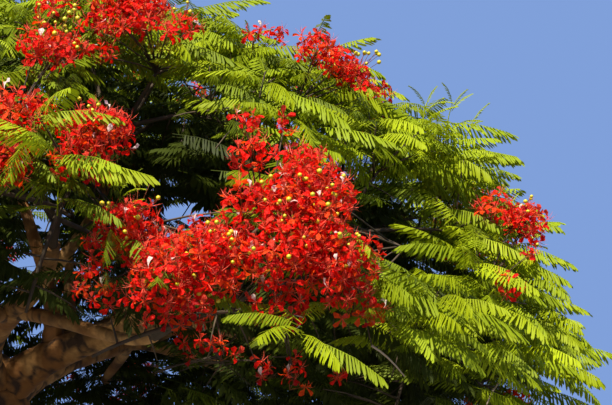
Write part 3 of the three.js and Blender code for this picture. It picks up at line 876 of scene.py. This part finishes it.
def fronds(grown, pairs, outline):
    """Fronds as one mesh. The rib is an arc: it starts at the heading's own slope and turns down
    evenly by the bend. Strips leave it in pairs, more slantingly towards the tip, longest in the
    middle, and stray a little. Each leaves the rib's plane by the fold and curls on."""
    station, side, out, across, faces = frond_template(pairs, outline)
    root, heading = grown["root"], grown["heading"]
    measures = ("size", "bend", "fold", "roll", "width", "key")
    size, bend, fold, roll, width, key = (grown[name][:, None] for name in measures)
    level = unit(heading * np.array([1, 1, 0]) + 1e-6)
    slope = np.arcsin(np.clip(heading[:, 2:], -1, 1))
    theta = slope - bend * station
    run = (np.sin(slope) - np.sin(theta)) / bend * FROND_LENGTH * size
    lift = (np.cos(theta) - np.cos(slope)) / bend * FROND_LENGTH * size
    on_strip = side != 0
    lean = np.radians(blend(*STRIP_ANGLES, station**1.5)) + 0.26 * swing(key, station * 53, side + 2)
    fold = fold + 0.5 * swing(key, station * 71, side + 4)
    shape = np.sin(np.pi * (0.14 + 0.68 * station))
    ragged = 1 + 0.24 * swing(key, station * 97, side)
    reach = STRIP_LENGTH * width * size * shape * ragged
    half = STRIP_HALF_WIDTH * size * across
    curl = math.radians(STRIP_CURL)
    turned = fold + curl * out
    sideways_out = reach * (np.sin(turned) - np.sin(fold)) / curl
    fallen = reach * (np.cos(fold) - np.cos(turned)) / curl
    ahead = np.where(on_strip, out * reach * np.cos(lean) + half * np.sin(lean), 0)
    beside = sideways_out * np.sin(lean) - half * np.cos(lean) * np.cos(turned)
    beside = np.where(on_strip, side * beside, RIB_RADIUS * out)
    above = fallen * np.sin(lean) - half * np.cos(lean) * np.sin(turned)
    above = np.where(on_strip, -above, RIB_RADIUS * across)
    roll_cos, roll_sin = np.cos(roll), np.sin(roll)
    beside, above = beside * roll_cos - above * roll_sin, beside * roll_sin + above * roll_cos
    forward = run + ahead * np.cos(theta) - above * np.sin(theta)
    upward = lift + ahead * np.sin(theta) + above * np.cos(theta)
    sideways = np.cross(UP, level)
    points = root[:, None] + forward[..., None] * level[:, None] + upward[..., None] * UP
    points = points + beside[..., None] * sideways[:, None]
    return points.reshape(-1, 3), repeated(faces, len(station), len(root))


def turned_round(axis, aslant, turn):
    """Ways square to each axis, turned round it from the one that is square to a slanting way too"""
    side = unit(np.cross(axis, aslant))
    return np.cos(turn)[:, None] * side + np.sin(turn)[:, None] * np.cross(axis, side)


def rosettes(tips, orders, count, slopes, size):
    """Fronds of each shoot: they turn round it by even steps and a chance, the first ones steeper
    than the last, on an axis between straight up and the way the dome faces"""
    step = np.tile(np.arange(count), len(tips))
    order = np.repeat(orders, count)
    tip = np.repeat(tips, count, axis=0)
    axis = unit(0.22 * outwards(tip) + UP)
    turn = order * GOLDEN_ANGLE + 2 * np.pi * (step + 0.5 * chance(order, step, 4)) / count
    flat = turned_round(axis, [0, 1, 0.2], turn)
    slope = np.radians(blend(*slopes, step / max(count - 1, 1)) + 14 * swing(order, step, 5))
    return {
        "root": tip - axis * (0.012 + 0.016 * step)[:, None],
        "heading": unit(np.cos(slope)[:, None] * flat + np.sin(slope)[:, None] * axis),
        "size": size * (0.80 + 0.36 * chance(order, step, 6)),
        "bend": np.radians(20 + 30 * chance(order, step, 9)),
        "fold": np.radians(16 + 36 * chance(order, step, 10)),
        "roll": np.radians(26) * swing(order, step, 13),
        "width": 0.9 + 0.2 * chance(order, step, 14),
        "key": order * 8 + step,
    }


def deal_greens(grown):
    """The green of each frond: paler the nearer it lies to the dome's skin, as painted sunlight, and darker
    deeper in, as painted shade, with a chance
    """
    offsets = (grown["root"] - np.array([CENTRE_X, 0, WIDEST])) / np.array([RADIUS, RADIUS, RISE])
    share = eased(np.linalg.norm(offsets, axis=1), 0.85, 1.0)
    value = 0.4 + 3.1 * share + 2.0 * swing(grown["key"], 8)
    return np.clip(4 - np.round(value), 0, 4).astype(int)


def picked(grown, which):
    """Some of what has grown, by a mask or a slice of all its values"""
    return {key: values[which] for key, values in grown.items()}


def in_hollow(points):
    """Whether points lie in a deep hollow: nearer to its axis than its reach, where the axis runs
    from its mouth straight in, for as far as it is deep"""
    inwards = -outwards(hollow_middle)
    offsets = points[:, None] - hollow_middle
    travelled = np.clip((offsets * inwards).sum(-1), 0, 0.8 * hollow_depth)[..., None]
    apart = np.linalg.norm(offsets - travelled * inwards, axis=-1)
    return (apart < 0.95 * hollow_reach * (hollow_depth > 0.35)).any(1)


def clear_fronds(grown):
    """The fronds that keep clear of the windows and of the deep hollows at three points, which fall
    off more and more from the heading"""
    way = grown["heading"] * FROND_LENGTH * grown["size"][:, None]
    hidden = False
    for share, fall in ((0.4, 0.02), (0.7, 0.06), (0.95, 0.12)):
        point = grown["root"] + share * way - fall * UP
        hidden = hidden | in_window(point, FROND_MARGIN) | in_hollow(point)
    return picked(grown, ~hidden)


def frond_pieces(name, grown, pairs, outline, finish, most):
    """Pieces of so many fronds at most, and of one green each"""
    for part, begin in enumerate(range(0, len(grown["key"]), most)):
        shape = fronds(picked(grown, slice(begin, begin + most)), pairs, outline)
        new_piece(f"{name}_{part + 1}", shape, finish, mass_nodes)


outer = clear_fronds(rosettes(leaf_tip, leaf_order, FRONDS_A_SHOOT, OUTER_SLOPES, 1.0))
inner = clear_fronds(rosettes(inner_tip, inner_order + 3000, INNER_FRONDS, INNER_SLOPES, INNER_SIZE))
outer_green = deal_greens(outer)
for index, (green_name, green) in enumerate(GREENS.items()):
    finish = leaf_finish(green_name, green)
    own = picked(outer, outer_green == index)
    frond_pieces(f"fronds_{green_name}", own, PAIRS, POINTED_STRIP, finish, MOST_FRONDS)
# The fronds inside the crown are of the last green, which is the shaded one
frond_pieces("fronds_inside", inner, INNER_PAIRS, BROAD_STRIP, finish, MOST_INNER_FRONDS)

# The young shoots and bare twigs
# Here and there a young shoot stands up out of the crown, with a few thin leaves that still curl.
# A few bare twigs show low on the crown.
YOUNG_LENGTHS = (0.15, 0.26)
YOUNG_RADII = (0.0045, 0.002)
# How far up its stem each spray of leaves stands, with their slopes and their size
YOUNG_SPRAYS = [(0.35, (40, 15), 0.55), (0.96, (80, 55), 0.40)]
YOUNG_LEAVES = 3
YOUNG_PAIRS = 16
BARE_RADII = (0.0065, 0.0035)
BARE_REACH = 0.22
BARE_DROP = 0.14
TWIG_PALE = (0.42, 0.30, 0.19, 1)

young_order = np.arange(len(young_foot))
young_way = unit(UP + 0.3 * outwards(young_foot))
young_length = blend(*YOUNG_LENGTHS, chance(young_order, 70))[:, None]
young_top = young_foot + young_length * young_way
young_parts = [tubes(young_foot, young_foot + 0.5 * young_length * UP, young_top, YOUNG_RADII, 4, 3)]
for up_stem, slopes, size in YOUNG_SPRAYS:
    spray_foot = blend(young_foot, young_top, up_stem)
    spray = rosettes(spray_foot, young_order + 900 + int(100 * up_stem), YOUNG_LEAVES, slopes, size)
    spray["width"] = 0.5 * spray["width"]
    spray["bend"] = 1.7 * spray["bend"]
    young_parts.append(fronds(spray, YOUNG_PAIRS, PLAIN_STRIP))
new_piece("young_shoots", joined(*young_parts), leaf_finish("young", GREENS["fresh_and_sunlit"]), mass_nodes)

# Each bare twig bends to one side by a chance, but the placed one, which is the first, to the right
turned = np.where(chance(np.arange(len(bare_foot)), 71) < 0.5, -1.0, 1.0)[:, None]
turned[0] = 1
sideways = turned * unit(np.cross(UP, outwards(bare_foot)))
bare_end = bare_foot + BARE_REACH * sideways - BARE_DROP * UP
bare = tubes(bare_foot, blend(bare_foot, bare_end, 0.5) + 0.03 * UP, bare_end, BARE_RADII, 5, 4)
weathered = Finish("weathered_twig")
shader = weathered.principled({"Base Color": TWIG_PALE, "Roughness": 0.8})
new_piece("bare_twigs", bare, weathered.made(shader), mass_nodes)

# The heads of blossom
# A head is a dome of scarlet flowers on thin stalks. A flower has four clawed, spoon-shaped petals,
# a fifth upright one that is pale while it is young, long red stamens, and pointed sepals behind.
FLOWERS_A_HEAD = 18
FLOWER_RADIUS = 0.050
FIFTHS = np.radians(72) * np.arange(5)
HEAD_REACH = 0.095
HEAD_LOOSENESS = 0.055  # how much farther out than the nearest flower the farthest one stands
HEAD_SPAN = 1.25  # how far down a head its flowers go, where 1 is its rim
PETAL_RISE = 0.55
STANDARD_RISE = 1.1
STANDARD_WIDTH = 1.05
STAMEN_HALF_WIDTH = 0.0012
SEPAL_HALF_WIDTH = 0.006
WHITE_SHARE = 0.09
RED_SHARES = [0.65, 0.86]  # up to which chance a flower is scarlet, and then orange
REDS = {
    "scarlet": (0.93, 0.011, 0.002, 1),
    "orange": (0.94, 0.075, 0.004, 1),
    "crimson": (0.50, 0.006, 0.004, 1),
}
STANDARD_WHITE = (0.98, 0.80, 0.68, 1)
STANDARD_RED = (0.70, 0.05, 0.020, 1)
STAMEN_RED = (0.75, 0.10, 0.05, 1)
SEPAL_AMBER = (0.50, 0.07, 0.008, 1)


def petal_finish(name, colour, share=0.52):
    """Petal: crinkled, mottled darker and paler in small spots, a little glossy, and lit through from
    behind by a share. The spots are partly the petal's own tone and partly painted shade and highlight of
    its crinkles.
    """
    petal = Finish(f"{name}_petal")
    place = petal.place()
    patchy = petal.noise(place, 70.0, 2.0).between(0.35, 0.60)
    # Small spots darker and paler than the colour: partly the petal's own tone, partly painted shade and
    # highlight of its crinkles
    mottle_and_crinkle_shade = petal.mix(patchy, tinted(colour, 0.80), tinted(colour, 1.05, 0.004))
    crinkled = petal.bump(petal.noise(place, 85.0, 2.0), 0.7, 0.02)
    sockets = {"Base Color": mottle_and_crinkle_shade, "Roughness": 0.42, "Normal": crinkled}
    velvet = petal.principled(sockets | {"Specular IOR Level": 0.18})
    return petal.lit_through(velvet, colour, share)


def on_head(head, step, steps, seed):
    """Ways out of the middle of a head: a spiral by the golden angle down to a little below its rim"""
    axis = head_axis[head]
    rise = (1 - (step + 0.5) / steps * HEAD_SPAN)[:, None]
    turn = step * GOLDEN_ANGLE + 2 * np.pi * chance(bloom_order[head], seed)
    return unit(rise * axis + np.sqrt(1 - rise**2) * turned_round(axis, [0.3, 1, 0.2], turn))


def spokes(out_way, turns):
    """Two ways for each turn round each flower: out along its face, and across that"""
    upright = unit(UP - out_way[:, 2:] * out_way + 1e-6)[:, None]
    across = np.cross(out_way[:, None], upright)
    turns = turns[..., None]
    spoke = np.cos(turns) * upright + np.sin(turns) * across
    return spoke, np.cross(out_way[:, None], spoke)


# A petal's corners in radii of the flower: how far along the midline, and how far to its side
PETAL_OUT = np.array([0, 0.36, 0.36, 0.74, 0.78, 0.74, 1.04, 1.16, 1.04])
PETAL_SIDE = np.array([0, 0.06, -0.06, 0.24, 0, -0.24, 0.19, 0, -0.19])
PETAL_FACES = np.array(
    [[0, 2, 1], [1, 2, 4], [1, 4, 3], [2, 5, 4], [3, 4, 7], [3, 7, 6], [4, 5, 8], [4, 8, 7]]
)


def petals(flowers, turns, rise, width):
    """Petals as one mesh, one for each turn of each flower. The midline is an arc that leaves the
    face by the rise and curls back. The blade is narrow, then wide as a spoon. It is creased along
    its midline, and twists about it by a chance."""
    out_way = flowers["facing"]
    key = flowers["key"][:, None]
    petal = np.arange(turns.shape[1])[None] + 1
    spoke, beside = spokes(out_way, turns + 0.3 * swing(key, petal, 61))
    rise = (rise + 0.7 * swing(key, petal, 62))[..., None]
    curl = (flowers["curl"][:, None] + 0.9 * swing(key, petal, 63))[..., None]
    twist = (1.7 * swing(key, petal, 64))[..., None] * PETAL_OUT
    slope = rise - curl * PETAL_OUT
    reach = (np.sin(rise) - np.sin(slope)) / curl
    lift = (np.cos(slope) - np.cos(rise)) / curl
    side = width * PETAL_SIDE * (1 + 0.5 * swing(key[..., None], petal[..., None], PETAL_OUT * 50))
    crease = (0.9 * chance(key, petal, 66) - 0.1)[..., None]
    above = side * np.sin(twist) + crease * np.abs(side)
    along_spoke = reach - above * np.sin(slope)
    along_out = lift + above * np.cos(slope)
    size = (flowers["size"][:, None] * (0.85 + 0.3 * chance(key, petal, 65)))[..., None, None]
    points = flowers["middle"][:, None, None] + size * (
        along_spoke[..., None] * spoke[:, :, None]
        + along_out[..., None] * out_way[:, None, None]
        + (side * np.cos(twist))[..., None] * beside[:, :, None]
    )
    return points.reshape(-1, 3), repeated(PETAL_FACES, len(PETAL_OUT), turns.size)


def blossom_piece(name, shape, finish, smooth=True):
    """A piece of all the heads together"""
    new_piece(name, shape, finish, mass_nodes, smooth)


head_axis = unit(0.75 * outwards(bloom_tip) + 0.5 * UP)
head_middle = bloom_tip + 0.01 * head_axis
flowers_each = np.round(FLOWERS_A_HEAD * fullness).astype(int)
head = np.repeat(np.arange(len(bloom_tip)), flowers_each)
step = np.concatenate([np.arange(each) for each in flowers_each])
key = bloom_order[head] * 32 + step
way = on_head(head, step, flowers_each[head], 31)
head_reach = (HEAD_REACH + HEAD_LOOSENESS * chance(key, 32)) * np.sqrt(fullness[head])
flowers = {
    "middle": head_middle[head] + head_reach[:, None] * way,
    "facing": unit(0.8 * way + 0.3 * UP + 1.3 * swing(key[:, None], 33 + np.arange(3))),
    "size": FLOWER_RADIUS * (0.86 + 0.28 * chance(key, 37)),
    "curl": 1.1 + 1.1 * chance(key, 38),
    "key": key,
}
turns = FIFTHS + 0.3 * swing(key, 39)[:, None]
red = np.digitize(chance(key, 44), RED_SHARES)
for index, (red_name, colour) in enumerate(REDS.items()):
    shape = petals(picked(flowers, red == index), turns[red == index][:, 1:], PETAL_RISE, 1.0)
    blossom_piece(f"petals_{red_name}", shape, petal_finish(red_name, colour), False)
young = chance(key, 40) < WHITE_SHARE
for kind, chosen, colour in (("white", young, STANDARD_WHITE), ("red", ~young, STANDARD_RED)):
    shape = petals(picked(flowers, chosen), turns[chosen][:, :1], STANDARD_RISE, STANDARD_WIDTH)
    blossom_piece(f"standards_{kind}", shape, petal_finish(f"standard_{kind}", colour), False)


def slivers(points, across, half_width):
    """Thin blades through three points each: two at the first and second, and one at the last"""
    first, second, last = (points[..., index, :].reshape(-1, 3) for index in range(3))
    across = half_width * across.reshape(-1, 3)
    corners = np.stack([first - across, first + across, second + across, second - across, last], 1)
    return corners.reshape(-1, 3), repeated(np.array([[0, 1, 2], [0, 2, 3], [3, 2, 4]]), 5, len(first))


out_way = flowers["facing"][:, None]
middle = flowers["middle"][:, None]
size = flowers["size"][:, None, None]
spoke, beside = spokes(flowers["facing"], FIFTHS + 6 * chance(key, 41)[:, None])
base = middle + 0 * spoke
elbow = middle + size * (0.25 * spoke + 0.6 * out_way)
point = middle + size * (0.65 * spoke + out_way + 0.2 * UP)
stamens = slivers(np.stack([base, elbow, point], -2), beside, STAMEN_HALF_WIDTH)
blossom_piece("stamens", stamens, petal_finish("stamen", STAMEN_RED, 0.1))

spoke, beside = spokes(flowers["facing"], FIFTHS + math.radians(36))
base = middle - 0.004 * out_way
point = base + size * (0.5 * spoke - 0.2 * out_way)
corners = np.stack([base - SEPAL_HALF_WIDTH * beside, base + SEPAL_HALF_WIDTH * beside, point], 2)
sepals = corners.reshape(-1, 3), np.arange(corners.size // 3).reshape(-1, 3)
blossom_piece("sepals", sepals, petal_finish("sepal", SEPAL_AMBER, 0.15))

# The buds
# Round yellow-green buds stand in loose bunches over two large heads in three, on stalks like
# those of the flowers. They are twenty-faced balls, smooth and a little waxy.
BUD_RADIUS = 0.0115
BUDS_A_BUNCH = 4
BUD_HEADS = 0.66
BUD_REACH = 0.155
BUD_SCATTER = 0.15
STALK_RADII = (0.0022, 0.0016)
STALK_RED = (0.24, 0.06, 0.012, 1)
BUD_GREEN = (0.46, 0.44, 0.006, 1)
BUD_AMBER = (0.60, 0.36, 0.010, 1)


def bud_balls(middle, way, radius):
    """Twenty-faced balls, a little longer than wide along their own way"""
    golden = (1 + math.sqrt(5)) / 2
    corners = [(0, a, b * golden) for a in (-1, 1) for b in (-1, 1)]
    corners = unit(np.array([np.roll(corner, shift) for shift in range(3) for corner in corners], float))
    near = far_from(corners, corners) < 1.1
    triples = np.array([(a, b, c) for a in range(12) for b in range(a) for c in range(b)])
    a, b, c = triples.T
    triples = triples[near[a, b] & near[b, c] & near[a, c]]
    a, b, c = corners[triples.T]
    inward = (np.cross(b - a, c - a) * a).sum(1) < 0
    triples[inward] = triples[inward][:, ::-1]
    stretch = 1 + 0.15 * np.abs(way @ corners.T)[..., None]
    points = middle[:, None] + radius[:, None, None] * stretch * corners
    return points.reshape(-1, 3), repeated(triples, 12, len(middle))


def bud_finish():
    """Bud: smooth, yellow-green with a tinge of amber"""
    waxy = Finish("waxy_bud")
    colour = waxy.mix(waxy.noise(waxy.place(), 60.0).between(0.4, 0.7), BUD_GREEN, BUD_AMBER)
    return waxy.made(waxy.principled({"Base Color": colour, "Roughness": 0.4}))


def stalks(begin, end):
    """Straight thin stalks"""
    return tubes(begin, blend(begin, end, 0.5), end, STALK_RADII, 3, 1)


budding = np.flatnonzero((chance(bloom_order, 50) < BUD_HEADS) & (fullness > 0.3))
bud_head = np.repeat(budding, BUDS_A_BUNCH)
bud_step = np.tile(np.arange(BUDS_A_BUNCH), len(budding))
bud_key = bloom_order[bud_head] * 32 + bud_step
bunch = on_head(bud_head, 3 * chance(bloom_order[bud_head], 54), FLOWERS_A_HEAD, 51)
scatter = swing(bud_key[:, None], 55 + np.arange(3))
bud = head_middle[bud_head] + BUD_REACH * bunch + BUD_SCATTER * scatter
bud_radius = BUD_RADIUS * (0.75 + 0.4 * chance(bud_key, 53))
blossom_piece("buds", bud_balls(bud, bunch, bud_radius), bud_finish())

stalk_begin = bloom_tip[head] - 0.04 * head_axis[head]
flower_stalks = stalks(stalk_begin, flowers["middle"] - 0.006 * flowers["facing"])
bud_stalks = stalks(head_middle[bud_head] + 0.05 * bunch, bud)
blossom_piece("flower_stalks", joined(flower_stalks, bud_stalks), petal_finish("stalk", STALK_RED, 0.1))

# The floor, the light and the camera
# A plain pale floor under a plain blue sky, and one soft light from high in front and a little to
# the left. The camera stands at eye height, looks up at the sunny side, and sees a part of it.
FLOOR_HALF = 60.0
FLOOR_PALE = (0.145, 0.142, 0.135, 1)
SKY_BLUE = (0.216, 0.352, 0.70, 1)
LIGHT_ENERGY = 10.0
LIGHT_COLOUR = (1.0, 0.95, 0.86)
LIGHT_WIDTH = 2
LIGHT_TILT = 34  # away from straight down
LIGHT_TURN = -24  # round the tree
CAMERA_TILT = 9
PHOTO_WIDTH = 612
FOCAL_PIXELS = 1700
SENSOR = 36.0

floor_mesh = bpy.data.meshes.new("floor")
corners = [(x * FLOOR_HALF, y * FLOOR_HALF, 0) for x, y in ((-1, -1), (1, -1), (1, 1), (-1, 1))]
floor_mesh.from_pydata(corners, [], [(0, 1, 2, 3)])
floor = bpy.data.objects.new("floor", floor_mesh)
bpy.context.scene.collection.objects.link(floor)
plain = Finish("plain_floor")
floor_mesh.materials.append(plain.made(plain.principled({"Base Color": FLOOR_PALE, "Roughness": 0.9})))

world = bpy.data.worlds.new("plain_sky")
world.use_nodes = True
world.node_tree.nodes["Background"].inputs["Color"].default_value = SKY_BLUE
bpy.context.scene.world = world

key_light = bpy.data.objects.new("key_light", bpy.data.lights.new("key_light", "SUN"))
key_light.data.energy = LIGHT_ENERGY
key_light.data.angle = math.radians(LIGHT_WIDTH)
key_light.data.color = LIGHT_COLOUR
key_light.rotation_euler = (math.radians(LIGHT_TILT), 0, math.radians(LIGHT_TURN))
bpy.context.scene.collection.objects.link(key_light)

camera = bpy.data.objects.new("camera", bpy.data.cameras.new("camera"))
camera.data.sensor_width = SENSOR
camera.data.lens = SENSOR * FOCAL_PIXELS / PHOTO_WIDTH
camera.location = EYE
camera.rotation_euler = (math.radians(90 + CAMERA_TILT), 0, 0)
bpy.context.scene.collection.objects.link(camera)
bpy.context.scene.camera = camera
bpy.context.scene.view_settings.view_transform = "Standard"
